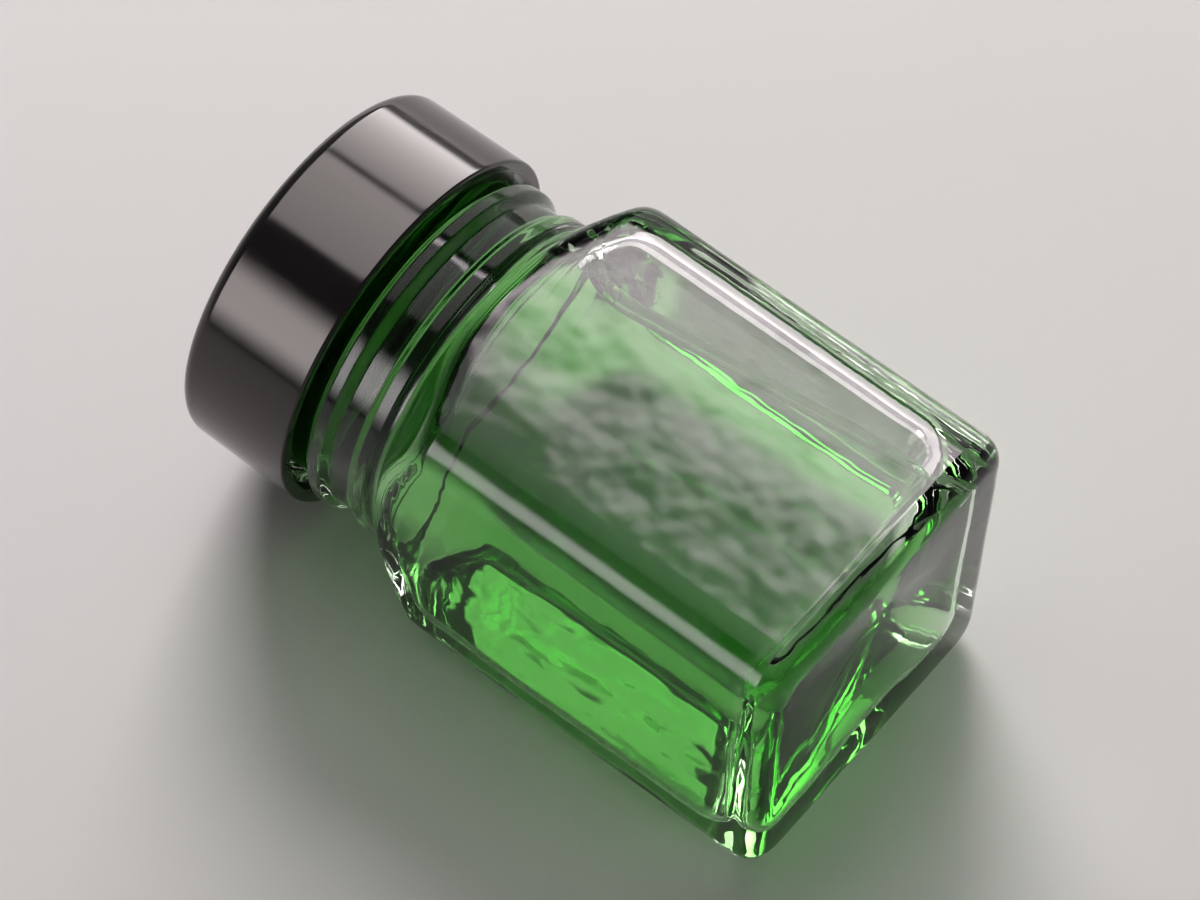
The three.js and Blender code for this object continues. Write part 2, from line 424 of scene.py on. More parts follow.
@dataclass(frozen=True)
class Pulpboard(Finish):
    """Pressed brown pulp with short fibres and specks."""

    name: str = "pressed pulpboard"
    dark: Colour = (0.3, 0.2, 0.11)
    light: Colour = (0.56, 0.43, 0.28)
    speck: Colour = (0.16, 0.1, 0.06)
    fibre: float = 0.5 * MM
    fibre_lay: Stretch = (1, 0.25, 0.6)
    fibre_gain: float = 2.4
    fibre_cut: float = 0.7
    speck_grain: float = 0.35 * MM
    speck_gain: float = 12.0
    speck_cut: float = 8.2
    roughness: float = 0.95
    fibre_sheen: float = 0.15
    bump_depth: float = 0.12 * MM
    bump_strength: float = 0.6

    def material(self) -> bpy.types.Material:
        """The pulpboard as a material.

        Returns:
            The material, with fibres drawn out one way and specks over them.
        """
        material, net, place = self.start()
        lay = net.node("ShaderNodeMapping", {}, {"Vector": place, "Scale": self.fibre_lay})
        fibre = self.noise(net, lay, self.fibre, detail=5)
        grains = self.noise(net, place, self.speck_grain, detail=1, seed=3)
        speck = (grains * self.speck_gain - self.speck_cut).eased()
        share = (fibre * self.fibre_gain - self.fibre_cut).eased()
        pulp = self.blend(net, share, self.dark, self.light)
        mixed = {"Factor_Float": speck, "A_Color": pulp, "B_Color": (*self.speck, 1)}
        sockets = {
            "Base Color": net.node("ShaderNodeMix", {"data_type": "RGBA"}, mixed, "Result_Color"),
            "Roughness": self.roughness - self.fibre_sheen * fibre,
            "Normal": self.bump(net, fibre, self.bump_depth, self.bump_strength),
        }
        self.finish(net, net.node("ShaderNodeBsdfPrincipled", {}, sockets))
        return material


@dataclass(frozen=True)
class WhiteFacing(Finish):
    """Thin satin white facing of the liner, with a slight orange peel."""

    name: str = "satin white facing"
    pale: Colour = (0.88, 0.86, 0.81)
    shaded: Colour = (0.78, 0.755, 0.69)
    patch: float = 5 * MM
    peel: float = 0.6 * MM
    roughness: float = 0.36
    patch_haze: float = 0.2
    bump_depth: float = 0.05 * MM
    bump_strength: float = 0.35

    def material(self) -> bpy.types.Material:
        """The facing as a material.

        Returns:
            The material, a little shaded in patches.
        """
        material, net, place = self.start()
        patch = self.noise(net, place, self.patch, detail=3)
        peel = self.noise(net, place, self.peel, seed=4)
        sockets = {
            "Base Color": self.blend(net, patch, self.pale, self.shaded),
            "Roughness": self.roughness + self.patch_haze * patch,
            "Normal": self.bump(net, peel, self.bump_depth, self.bump_strength),
        }
        self.finish(net, net.node("ShaderNodeBsdfPrincipled", {}, sockets))
        return material


@dataclass(frozen=True)
class PaleFloor(Finish):
    """Plain pale matt floor."""

    name: str = "pale matt floor"
    colour: Colour = (0.87, 0.855, 0.845)
    roughness: float = 0.9

    def material(self) -> bpy.types.Material:
        """The floor as a material.

        Returns:
            The material, the same all over.
        """
        material, net, _ = self.start()
        sockets = {"Base Color": (*self.colour, 1), "Roughness": self.roughness}
        self.finish(net, net.node("ShaderNodeBsdfPrincipled", {}, sockets))
        return material


@dataclass(frozen=True)
class Lie:
    """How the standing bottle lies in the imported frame."""

    base: Vector
    axis: Vector

    @classmethod
    def from_record(cls, record: dict[str, Any]) -> "Lie":
        """Reads the axis from the cap's hinge and the base from the mount on it.

        Args:
            record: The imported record.

        Returns:
            The base's middle and the direction from it to the cap.
        """
        hinge = next(j for j in record["behaviour"]["joints"] if j["type"] == "hinge")
        mount = next(m for m in record["mounts"] if m["name"] == "base_face")
        axis = Vector(hinge["axis"]).normalized()
        pivot = Vector(hinge["pos_m"])
        return cls(pivot + axis * (Vector(mount["pos_m"]) - pivot).dot(axis), axis)

    def matrix(self) -> Matrix:
        """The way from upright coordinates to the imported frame.

        Returns:
            A matrix that turns upright X to the lying bottle's upper side.
        """
        across = Vector((0, 1, 0))
        up = across.cross(self.axis)
        turn = Matrix((up, across, self.axis)).transposed().to_4x4()
        return Matrix.Translation(self.base) @ turn


@dataclass(frozen=True)
class Corner:
    """A corner of a half profile, with the radius of its fillet."""

    radius: float
    height: float
    fillet: float = 0.0


@dataclass(frozen=True)
class Row:
    """A level ring: round, or square with rounded corners where that is narrower."""

    radius: float
    height: float
    half: float = FAR
    edge: float = FAR / 2
    wobble: float = 0.0
    thread: float = 0.0
    inside: float = 0.0


@dataclass(frozen=True)
class Ridge:
    """A screw thread's ridge, which stands out of a wall, or into a bore where it is negative."""

    height: float = 0.0
    start: float = 0.0
    turns: float = 1.5
    pitch: float = 4.233 * MM
    width: float = 2.4 * MM
    flank: float = 0.75 * MM
    fade: float = 0.14


def filleted(corners: list[Corner]) -> list[Point]:
    """Points through corners, with each fillet drawn as an arc.

    Args:
        corners: The corners in order, the first and last without a fillet.

    Returns:
        Radius and height of each point.
    """
    points: list[Point] = []
    for place, corner in enumerate(corners):
        tip = np.array((corner.radius, corner.height))
        if corner.fillet == 0:
            points.append(tuple(tip))
            continue
        sides = []
        for other in (corners[place - 1], corners[place + 1]):
            sides.append(np.array((other.radius, other.height)) - tip)
        reaches = [np.linalg.norm(side) for side in sides]
        back, ahead = (side / reach for side, reach in zip(sides, reaches))
        half_angle = math.acos(np.clip(back @ ahead, -1, 1)) / 2
        run = min(corner.fillet / math.tan(half_angle), min(reaches) / 2)
        radius = run * math.tan(half_angle)
        centre = (back + ahead) / np.linalg.norm(back + ahead) * radius / math.sin(half_angle)
        first, last = back * run - centre, ahead * run - centre
        sweep = math.pi - 2 * half_angle
        sign = math.copysign(1, first[0] * last[1] - first[1] * last[0])
        count = max(3, math.ceil(sweep / ARC_STEP))
        for step in range(count + 1):
            turn = sign * sweep * step / count
            cos, sin = math.cos(turn), math.sin(turn)
            arm = np.array((first[0] * cos - first[1] * sin, first[0] * sin + first[1] * cos))
            points.append(tuple(tip + centre + arm))
    return points


def divided(points: list[Point], step: float) -> list[Point]:
    """Points with long stretches cut up.

    Args:
        points: A line's points.
        step: The longest stretch that may be left.

    Returns:
        The line with more points on it.
    """
    line = [points[0]]
    for first, last in zip(points, points[1:]):
        count = max(1, math.ceil(math.dist(first, last) / step))
        for share in range(1, count + 1):
            line.append(tuple(np.array(first) + (np.array(last) - first) * share / count))
    return line


@dataclass
class SkinMaker:
    """Makes closed skins by one geometry tree: a line of rows swept round an upright axis."""

    turn_steps: int = 288
    arc_blend: float = 1.6 * MM
    wobble_grain: float = 11 * MM
    lower_wobble: float = 2.0
    merge_within: float = 0.001 * MM
    tree: bpy.types.GeometryNodeTree | None = None
    inputs: dict[str, str] = field(default_factory=dict)

    def build_tree(self) -> None:
        """Builds the geometry tree and keeps its inputs' identifiers."""
        self.tree = bpy.data.node_groups.new("skin round an axis", "GeometryNodeTree")
        net = NodeNet(self.tree)
        line = net.input("Rows", "NodeSocketGeometry")
        steps = net.input("Turn Steps", "NodeSocketInt")
        columns = steps + 1
        count = net.node("GeometryNodeAttributeDomainSize", {}, {"Geometry": line}, "Point Count")
        size = {"Vertices X": count, "Vertices Y": columns}
        grid = net.node("GeometryNodeMeshGrid", {}, size)
        index = net.node("GeometryNodeInputIndex")
        row = ((index + 0.5) / columns).math("FLOOR")
        angle = (index - row * columns) * FULL_TURN / steps

        def sampled(value: Term, kind: str) -> Term:
            """A value of the row that a grid point belongs to."""
            sockets = {"Geometry": line, "Value": value, "Index": row}
            return net.node("GeometryNodeSampleIndex", {"data_type": kind}, sockets)

        def named(name: str) -> Term:
            """A row's own number, by name."""
            kind = {"data_type": "FLOAT"}
            return sampled(net.node("GeometryNodeInputNamedAttribute", kind, {"Name": name}), "FLOAT")

        spot = sampled(net.node("GeometryNodeInputPosition"), "FLOAT_VECTOR")
        radius = net.node("ShaderNodeSeparateXYZ", {}, {"Vector": spot}, "X")
        height = radius.sibling("Z")
        square = self.square_reach(angle, named("half"), named("edge"))
        blend = net.input("Arc Blend", "NodeSocketFloat")
        near = (blend - abs(radius - square)).math("MAXIMUM", 0) / blend
        reach = radius.math("MINIMUM", square) - near * near * blend / 4
        reach = reach + named("thread") * self.ridge_height(net, angle, height)
        cos, sin = angle.math("COSINE"), angle.math("SINE")
        flat = {"X": reach * cos, "Y": reach * sin, "Z": height}
        waves = {
            "Vector": net.node("ShaderNodeCombineXYZ", {}, flat),
            "W": net.input("Wobble Seed", "NodeSocketFloat"),
            "Scale": 1 / self.wobble_grain,
            "Detail": 1.0,
        }
        wave = net.node("ShaderNodeTexNoise", {"noise_dimensions": "4D"}, waves, "Color")
        sway = net.node("ShaderNodeSeparateXYZ", {}, {"Vector": wave}, "X")
        lower = (0 - cos).math("MAXIMUM", 0)
        wobble = named("wobble") * (1 + self.lower_wobble * lower) * 2
        reach = reach + wobble * (sway - 0.5) * (reach / self.wobble_grain).math("MINIMUM", 1)
        lift = height + wobble * (sway.sibling("Z") - 0.5)
        place = net.node("ShaderNodeCombineXYZ", {}, {"X": reach * cos, "Y": reach * sin, "Z": lift})
        skin = net.node("GeometryNodeSetPosition", {}, {"Geometry": grid, "Position": place})
        kept = {"Geometry": skin, "Name": "inside", "Value": named("inside")}
        skin = net.node("GeometryNodeStoreNamedAttribute", {"data_type": "FLOAT"}, kept)
        close = {"Geometry": skin, "Distance": self.merge_within}
        skin = net.node("GeometryNodeMergeByDistance", {}, close)
        skin = net.node("GeometryNodeFlipFaces", {}, {"Mesh": skin})
        skin = net.node("GeometryNodeSetShadeSmooth", {}, {"Geometry": skin, "Shade Smooth": True})
        skin = net.node("GeometryNodeRealizeInstances", {}, {"Geometry": skin})
        finish = net.input("Finish", "NodeSocketMaterial")
        skin = net.node("GeometryNodeSetMaterial", {}, {"Geometry": skin, "Material": finish})
        self.tree.interface.new_socket("Skin", in_out="OUTPUT", socket_type="NodeSocketGeometry")
        output = self.tree.nodes.new("NodeGroupOutput")
        self.tree.links.new(skin.socket, output.inputs[0])
        for item in self.tree.interface.items_tree:
            if item.in_out == "INPUT":
                self.inputs[item.name] = item.identifier

    @staticmethod
    def square_reach(angle: Term, half: Term, edge: Term) -> Term:
        """Distance from the axis to a rounded square.

        Args:
            angle: The direction, which is folded into an eighth of the square.
            half: Half the square's width.
            edge: The radius of its corners.

        Returns:
            The distance in that direction.
        """
        quarter = math.pi / 2
        folded = abs(angle - quarter * (angle / quarter).math("ROUND"))
        along, across = folded.math("COSINE"), folded.math("SINE")
        flat = half - edge
        off = flat * (along - across)
        bend = (edge * edge - off * off).math("MAXIMUM", 0).math("SQRT")
        side = half / along
        corner = flat * (along + across) + bend
        return side + (half * across).math("GREATER_THAN", flat * along) * (corner - side)

    @staticmethod
    def ridge_height(net: NodeNet, angle: Term, height: Term) -> Term:
        """How far a screw thread's ridge stands out.

        Args:
            net: The geometry tree, which gets the thread's inputs.
            angle: The direction round the axis.
            height: The height along it.

        Returns:
            The ridge's height there.
        """
        pitch = net.input("Thread Pitch", "NodeSocketFloat")
        start = net.input("Thread Start", "NodeSocketFloat")
        turns = net.input("Thread Turns", "NodeSocketFloat")
        fade = net.input("Thread Fade", "NodeSocketFloat")
        width = net.input("Ridge Width", "NodeSocketFloat")
        flank = net.input("Ridge Flank", "NodeSocketFloat")
        share = angle / FULL_TURN
        lead = (height - start) / pitch - share
        turn = (lead + 0.5).math("FLOOR")
        along = turn + share
        ends = (along / fade).eased() * ((turns - along) / fade).eased()
        off = abs(lead - turn) * pitch
        crest = ((width / 2 - off) / flank).eased()
        return net.input("Ridge Height", "NodeSocketFloat") * ends * crest

    def skin(
        self,
        name: str,
        rows: list[Row],
        finish: bpy.types.Material,
        ridge: Ridge = Ridge(),
        seed: float = 0.0,
    ) -> bpy.types.Object:
        """One closed skin.

        Args:
            name: The piece's name.
            rows: Its rings, from a point on the axis to a point on the axis.
            finish: Its material.
            ridge: The screw thread of the rows that carry one.
            seed: Which unevenness it gets.

        Returns:
            An upright object with a plain mesh.
        """
        if self.tree is None:
            self.build_tree()
        line = bpy.data.meshes.new(f"{name}_rows")
        line.from_pydata([(row.radius, 0, row.height) for row in rows], [], [])
        for key in ("half", "edge", "wobble", "thread", "inside"):
            numbers = line.attributes.new(key, "FLOAT", "POINT")
            numbers.data.foreach_set("value", [getattr(row, key) for row in rows])
        maker = bpy.data.objects.new(f"{name}_maker", line)
        bpy.context.scene.collection.objects.link(maker)
        modifier = maker.modifiers.new("skin", "NODES")
        modifier.node_group = self.tree
        values = {
            "Turn Steps": self.turn_steps,
            "Arc Blend": self.arc_blend,
            "Thread Pitch": ridge.pitch,
            "Thread Start": ridge.start,
            "Thread Turns": ridge.turns,
            "Thread Fade": ridge.fade,
            "Ridge Width": ridge.width,
            "Ridge Flank": ridge.flank,
            "Ridge Height": ridge.height,
            "Wobble Seed": seed,
            "Finish": finish,
        }
        for key, value in values.items():
            modifier[self.inputs[key]] = value
        made = maker.evaluated_get(bpy.context.evaluated_depsgraph_get())
        mesh = bpy.data.meshes.new_from_object(made)
        bpy.data.objects.remove(maker)
        mesh.name = name
        mesh.materials.clear()
        mesh.materials.append(finish)
        mesh.polygons.foreach_set("material_index", [0] * len(mesh.polygons))
        piece = bpy.data.objects.new(name, mesh)
        bpy.context.scene.collection.objects.link(piece)
        return piece


def lay_down(piece: bpy.types.Object, lie: Lie, body: Body, slot: Slot, node: str) -> None:
    """Puts an upright piece in its place in the frame, where it stands for a plain solid.

    Args:
        piece: The upright piece.
        lie: How the bottle lies.
        body: The body that it rides on.
        slot: The record's slot for its finish; not used.
        node: The solid that it stands for.
    """
    piece.data.transform(lie.matrix())
    piece.data.update()
    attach(piece, body.value)
    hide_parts(node)
    log.info("%s: %d faces", piece.name, len(piece.data.polygons))


@dataclass(frozen=True)
class Bubble:
    """The air left in the bottle: one long level bubble under its upper side, at the far edge."""

    width: float = 8 * MM
    depth: float = 4.2 * MM
    reach: float = 21 * MM
    taper: float = math.radians(6)
    nose: float = 2.0 * MM
    end: float = 5 * MM
    half: float = 20 * MM
    stretch: float = 1.5
    contact_lean: float = 0.9 * MM

    def rows(self) -> list[Row]:
        """Rows from the level underside up through the glass.

        Returns:
            Square rows with a rounded lower edge, drawn in where the liquid wets the glass.
        """
        count = math.ceil(math.pi / 2 / ARC_STEP)
        rows = [Row(0.0, -self.depth)]
        rows += heel_rows(self.half, self.end, self.nose, -self.depth)
        for step in range(1, count + 1):
            share = step / count
            drawn = self.half - self.contact_lean * share ** 2
            rows.append(Row(FAR, (self.nose - self.depth) * (1 - share), drawn, self.end))
        rows.append(Row(FAR, self.depth, drawn, self.end))
        rows.append(Row(0.0, self.depth))
        return rows

    def corner(self, inner: float, middle: float, lie: Lie) -> Matrix:
        """The bubble's own corner in the frame.

        Args:
            inner: Half the width of the hollow.
            middle: The height of the body's middle above the base.
            lie: How the bottle lies.

        Returns:
            A place at the near side's top, with X along the bubble and Y to the far wall.
        """
        spot = lie.matrix() @ Vector((inner, inner - self.width, middle))
        return Matrix.Translation(spot) @ Matrix.Rotation(self.taper, 4, "Z")

    def stretched(self) -> Matrix:
        """The way from its upright skin to its own corner.

        Returns:
            A matrix that stretches the skin along the bubble and moves it to the corner.
        """
        along = self.half * self.stretch - self.reach
        place = Matrix.Translation((along, self.half, 0))
        return place @ Matrix.Diagonal((self.stretch, 1, 1, 1))

    def depth_in(self, spots: np.ndarray) -> np.ndarray:
        """How deep places lie in the bubble, less than nothing outside it.

        Args:
            spots: The places, from its corner.

        Returns:
            The distance to its nearest side.
        """
        side = spots[:, 1] - self.contact_lean
        end = spots[:, 0] + self.reach - self.contact_lean
        return np.minimum(np.minimum(side, end), spots[:, 2] + self.depth)


def heel_rows(half: float, edge: float, heel: float, bottom: float) -> list[Row]:
    """Square rows round the bottom of a prism.

    Args:
        half: Half its width.
        edge: The radius of its long edges.
        heel: The radius round its lower edge.
        bottom: The height of its flat end.

    Returns:
        Rows from the flat end up to the sides.
    """
    count = math.ceil(math.pi / 2 / ARC_STEP)
    rows = []
    for step in range(count + 1):
        turn = step / count * math.pi / 2
        inset = heel * (1 - math.sin(turn))
        rise = heel * (1 - math.cos(turn))
        corner = max(edge - inset, edge * LEAST_EDGE_SHARE)
        rows.append(Row(FAR, bottom + rise, half - inset, corner))
    return rows


@dataclass
class GlassBottle:
    """The moulded glass, outside and hollow in one closed skin."""

    body_width: float = 38 * MM
    long_edge: float = 4.5 * MM
    heel: float = 2.8 * MM
    side_wall: float = 2.4 * MM
    inner_edge: float = 4 * MM
    base_thickness: float = 4.2 * MM
    inner_heel: float = 4.5 * MM
    push_up_radius: float = 12 * MM
    push_up_depth: float = 0.9 * MM
    push_up_steps: int = 12
    shoulder_top: float = 49.6 * MM
    shoulder_slope: float = math.radians(37)
    shoulder_edge: float = 6 * MM
    shoulder_wall: float = 2.8 * MM
    inner_neck_fillet: float = 3 * MM
    neck_radius: float = 18 * MM
    neck_length: float = 19.3 * MM
    collar_radius: float = 18.7 * MM
    bead_radius: float = 19 * MM
    ring_height: float = 1.4 * MM
    ring_flank: float = 0.8 * MM
    ring_fillet: float = 0.5 * MM
    bead_below_lip: float = 11.7 * MM
    finish_radius: float = 17.55 * MM
    mouth_radius: float = 14.75 * MM
    lip_edge: float = 0.9 * MM
    bore_slack: float = 0.09 * MM
    thread_below_lip: float = 8 * MM
    ridge_height: float = 1.15 * MM
    row_step: float = 1.6 * MM
    thread_step: float = 0.3 * MM
    outer_wobble: float = 0.06 * MM
    inner_wobble: float = 0.2 * MM
    seed: float = 3.0
    finish: ClearGlass = ClearGlass()

    @property
    def lip(self) -> float:
        """Height of the lip above the base."""
        return self.shoulder_top + self.neck_length

    def shoulder_line(
        self, half: float, edge: float, top: Point, fillet: float, blend: float
    ) -> list[Point]:
        """The cone's line from the straight sides up to a neck.

        Args:
            half: Half the width of the sides below it.
            edge: The radius of their long edges.
            top: Radius and height where the cone meets the neck.
            fillet: The radius of that corner.
            blend: The width over which cone and sides melt together.

        Returns:
            Radius and height of its points.
        """
        outside = (half - edge) * math.sqrt(2) + edge + blend
        drop = (outside - top[0]) * math.tan(self.shoulder_slope)
        return filleted([
            Corner(outside, 0),
            Corner(outside, top[1] - drop, self.shoulder_edge),
            Corner(*top, fillet),
            Corner(top[0], top[1] + self.neck_length),
        ])[1:-1]

    def walled_rows(
        self, half: float, edge: float, heel: float, bottom: float, cone: list[Point]
    ) -> list[Row]:
        """Rows from a flat end over the heel, the sides and the shoulder.

        Args:
            half: Half the width of the sides.
            edge: The radius of their long edges.
            heel: The radius round the lower edge.
            bottom: The height of the flat end.
            cone: The shoulder's line.

        Returns:
            The rows, from the bottom up.
        """
        rows = heel_rows(half, edge, heel, bottom)
        foot, head = rows[-1].height, cone[0][1]
        count = math.ceil((head - foot) / self.row_step)
        for step in range(1, count):
            rows.append(Row(FAR, foot + (head - foot) * step / count, half, edge))
        for radius, height in divided(cone, self.row_step):
            rows.append(Row(radius, height, half, edge))
        return rows

    def cavity_rows(self, grow: float, blend: float) -> list[Row]:
        """Rows of the hollow from its floor to its neck.

        Args:
            grow: How far they stand into the glass.
            blend: The width over which cone and sides melt together.

        Returns:
            The rows, from the floor up.
        """
        half = self.inner_half + grow
        mouth = self.mouth_radius + grow
        slope = self.shoulder_slope
        rise = (self.neck_radius - mouth) * math.tan(slope)
        top = self.shoulder_top + rise - (self.shoulder_wall - grow) / math.cos(slope)
        cone = self.shoulder_line(half, self.inner_edge, (mouth, top), self.inner_neck_fillet, blend)
        floor = self.base_thickness - grow
        return self.walled_rows(half, self.inner_edge, self.inner_heel, floor, cone)

    def neck_rows(self) -> list[Row]:
        """Rows of the collar, the bead, the threaded finish, the lip and the mouth.

        Returns:
            The rows, up outside and down inside.
        """
        foot = self.shoulder_top + self.ring_flank
        bead = self.lip - self.bead_below_lip
        fillet = self.ring_fillet
        flank = self.ring_flank
        line = filleted([
            Corner(self.neck_radius, self.shoulder_top),
            Corner(self.collar_radius, foot, fillet),
            Corner(self.collar_radius, foot + self.ring_height, fillet),
            Corner(self.neck_radius, foot + self.ring_height + flank, fillet),
            Corner(self.neck_radius, bead - self.ring_height - flank, fillet),
            Corner(self.bead_radius, bead - self.ring_height, fillet),
            Corner(self.bead_radius, bead, fillet),
            Corner(self.finish_radius, bead + flank, fillet),
            Corner(self.finish_radius, self.lip, self.lip_edge),
            Corner(self.mouth_radius, self.lip, self.lip_edge),
            Corner(self.mouth_radius, self.shoulder_top),
        ])[1:-1]
        rows = []
        for radius, height in divided(line, self.thread_step):
            threaded = height > bead + flank and radius > self.finish_radius - self.lip_edge / 2
            inside = radius < self.mouth_radius + self.bore_slack
            rows.append(Row(radius, height, thread=float(threaded), inside=float(inside)))
        return rows

    def rows(self, blend: float) -> list[Row]:
        """All rows of the glass.

        Args:
            blend: The width over which cone and sides melt together.

        Returns:
            The rows, from the middle of its base to the middle of its inner floor.
        """
        half = self.body_width / 2
        dome = []
        for step in range(self.push_up_steps + 1):
            share = step / self.push_up_steps
            dome.append(Row(share * self.push_up_radius, self.push_up_depth * (1 - share ** 2)))
        cone = self.shoulder_line(
            half, self.long_edge, (self.neck_radius, self.shoulder_top), 0.0, blend)
        outside = dome + self.walled_rows(half, self.long_edge, self.heel, 0.0, cone)
        inside = self.cavity_rows(0.0, blend)
        inside.insert(0, Row(0.0, self.base_thickness))
        outside = [replace(row, wobble=self.outer_wobble) for row in outside]
        inside = [replace(row, wobble=self.inner_wobble, inside=1.0) for row in inside]
        return outside + self.neck_rows() + inside[::-1]

    @property
    def inner_half(self) -> float:
        """Half the width of the hollow."""
        return self.body_width / 2 - self.side_wall

    def mark_dry(self, mesh: bpy.types.Mesh, bubble: Bubble, lie: Lie) -> None:
        """Notes on each point how far it is from the liquid, less than nothing where it is wet.

        The number is in millimetres, and the outside counts as dry.

        Args:
            mesh: The upright glass.
            bubble: The air left in the bottle.
            lie: How the bottle lies.
        """
        corner = bubble.corner(self.inner_half, self.shoulder_top / 2, lie)
        way = np.array(corner.inverted() @ lie.matrix())
        spots = np.empty(3 * len(mesh.vertices))
        mesh.vertices.foreach_get("co", spots)
        spots = spots.reshape(-1, 3) @ way[:3, :3].T + way[:3, 3]
        inside = np.empty(len(mesh.vertices))
        mesh.attributes["inside"].data.foreach_get("value", inside)
        deep = np.where(inside > 0.5, bubble.depth_in(spots), FAR)
        dry_by = mesh.attributes.new(self.finish.dry_by, "FLOAT", "POINT")
        most = self.side_wall / MM
        dry_by.data.foreach_set("value", np.clip(deep / MM, -most, most))

    def build(self, maker: SkinMaker, bubble: Bubble, lie: Lie) -> None:
        """Makes the glass and lays it in its place.

        Args:
            maker: Makes the skin.
            bubble: The air left in the bottle.
            lie: How the bottle lies.
        """
        ridge = Ridge(self.ridge_height, self.lip - self.thread_below_lip)
        rows = self.rows(maker.arc_blend)
        piece = maker.skin(Piece.GLASS.value, rows, self.finish.material(), ridge, self.seed)
        self.mark_dry(piece.data, bubble, lie)
        lay_down(piece, lie, Body.BOTTLE, Slot.CLEAR_GLASS, "glass_bottle")


@dataclass
class Contents:
    """The liquid, which fills the hollow but for the bubble."""

    glass: GlassBottle
    bubble: Bubble
    overlap: float = 0.3 * MM
    end_edge: float = 2.6 * MM
    end_gap: float = 0.1 * MM
    crease: float = math.radians(40)
    finish: GreenLiquid = GreenLiquid()

    def rows(self, blend: float) -> list[Row]:
        """Rows of the whole hollow.

        Args:
            blend: The width over which cone and sides melt together.

        Returns:
            The rows, from the floor to a rounded end at the lip.
        """
        rows = self.glass.cavity_rows(self.overlap, blend)
        rows.insert(0, Row(0.0, self.glass.base_thickness - self.overlap))
        mouth = rows[-1]
        end = self.glass.lip - self.end_gap
        line = filleted([
            Corner(mouth.radius, mouth.height),
            Corner(mouth.radius, end, self.end_edge),
            Corner(0.0, end),
        ])
        return rows + [Row(*point) for point in divided(line, self.glass.row_step)[1:]]

    def take_out(self, piece: bpy.types.Object, air: bpy.types.Object) -> None:
        """Cuts the bubble out of the liquid and leaves a plain mesh.

        Args:
            piece: The liquid as a filled hollow.
            air: The bubble, which is used up.
        """
        for mesh in (piece.data, air.data):
            mesh.materials.append(mesh.materials[0])
        air.data.polygons.foreach_set("material_index", [1] * len(air.data.polygons))
        cut = piece.modifiers.new("bubble", "BOOLEAN")
        cut.operation = "DIFFERENCE"
        cut.solver = "EXACT"
        cut.object = air
        made = piece.evaluated_get(bpy.context.evaluated_depsgraph_get())
        mesh = bpy.data.meshes.new_from_object(made)
        piece.modifiers.clear()
        sides = np.empty(len(mesh.polygons), dtype=np.int32)
        mesh.polygons.foreach_get("material_index", sides)
        open_side = mesh.attributes.new(self.finish.open_side, "FLOAT", "FACE")
        open_side.data.foreach_set("value", (sides > 0).astype(np.float32))
        log.info("bubble: %d faces", (sides > 0).sum())
        mesh.materials.clear()
        mesh.materials.append(piece.data.materials[0])
        mesh.polygons.foreach_set("material_index", [0] * len(mesh.polygons))
        mesh.set_sharp_from_angle(angle=self.crease)
        mesh.name = piece.name
        piece.data = mesh
        bpy.data.objects.remove(air)

    def build(self, maker: SkinMaker, lie: Lie) -> None:
        """Makes the liquid, takes the bubble out and lays it in its place.

        Args:
            maker: Makes the skins.
            lie: How the bottle lies.
        """
        finish = self.finish.material()
        piece = maker.skin(Piece.CONTENTS.value, self.rows(maker.arc_blend), finish)
        air = maker.skin("air_bubble", self.bubble.rows(), finish)
        corner = self.bubble.corner(self.glass.inner_half, self.glass.shoulder_top / 2, lie)
        air.data.transform(lie.matrix().inverted() @ corner @ self.bubble.stretched())
        self.take_out(piece, air)
        lay_down(piece, lie, Body.BOTTLE, Slot.GREEN_LIQUID, "green_liquid")


@dataclass
class ScrewCap:
    """The black cap: a drafted skirt, a rounded crown and the thread inside."""

    glass: GlassBottle
    thread_space: float = 1.55 * MM
    wall: float = 1.4 * MM
    draft: float = 0.2 * MM
    skirt_below_lip: float = 9.9 * MM
    rim_edge: float = 0.35 * MM
    liner_room: float = 2.2 * MM
    crown_thickness: float = 1.6 * MM
    crown_edge: float = 1.5 * MM
    inner_edge: float = 0.5 * MM
    ridge_height: float = 1.15 * MM
    ridge_width: float = 1.9 * MM
    ridge_flank: float = 0.6 * MM
    bore_slack: float = 0.01 * MM
    row_step: float = 0.35 * MM
    finish: GlossBlack = GlossBlack()

    def rows(self) -> list[Row]:
        """Rows of the whole cap.

        Returns:
            The rows, from the middle of the ceiling, down inside and up outside to the crown.
        """
        bore = self.glass.finish_radius + self.thread_space
        outside = bore + self.wall
        rim = self.glass.lip - self.skirt_below_lip
        ceiling = self.glass.lip + self.liner_room
        crown = ceiling + self.crown_thickness
        line = filleted([
            Corner(0.0, ceiling),
            Corner(bore, ceiling, self.inner_edge),
            Corner(bore, rim, self.rim_edge),
            Corner(outside, rim, self.rim_edge),
            Corner(outside - self.draft, crown, self.crown_edge),
            Corner(0.0, crown),
        ])
        rows = []
        for radius, height in divided(line, self.row_step):
            threaded = abs(radius - bore) < self.bore_slack and height < self.glass.lip
            rows.append(Row(radius, height, thread=float(threaded)))
        return rows

    def build(self, maker: SkinMaker, lie: Lie) -> None:
        """Makes the cap and lays it in its place.

        Args:
            maker: Makes the skin.
            lie: How the bottle lies.
        """
        glass = self.glass
        start = glass.lip - glass.thread_below_lip - Ridge.pitch / 2
        ridge = Ridge(-self.ridge_height, start, width=self.ridge_width, flank=self.ridge_flank)
        piece = maker.skin(Piece.CAP.value, self.rows(), self.finish.material(), ridge)
        lay_down(piece, lie, Body.CAP, Slot.BLACK_CAP, "screw_cap")


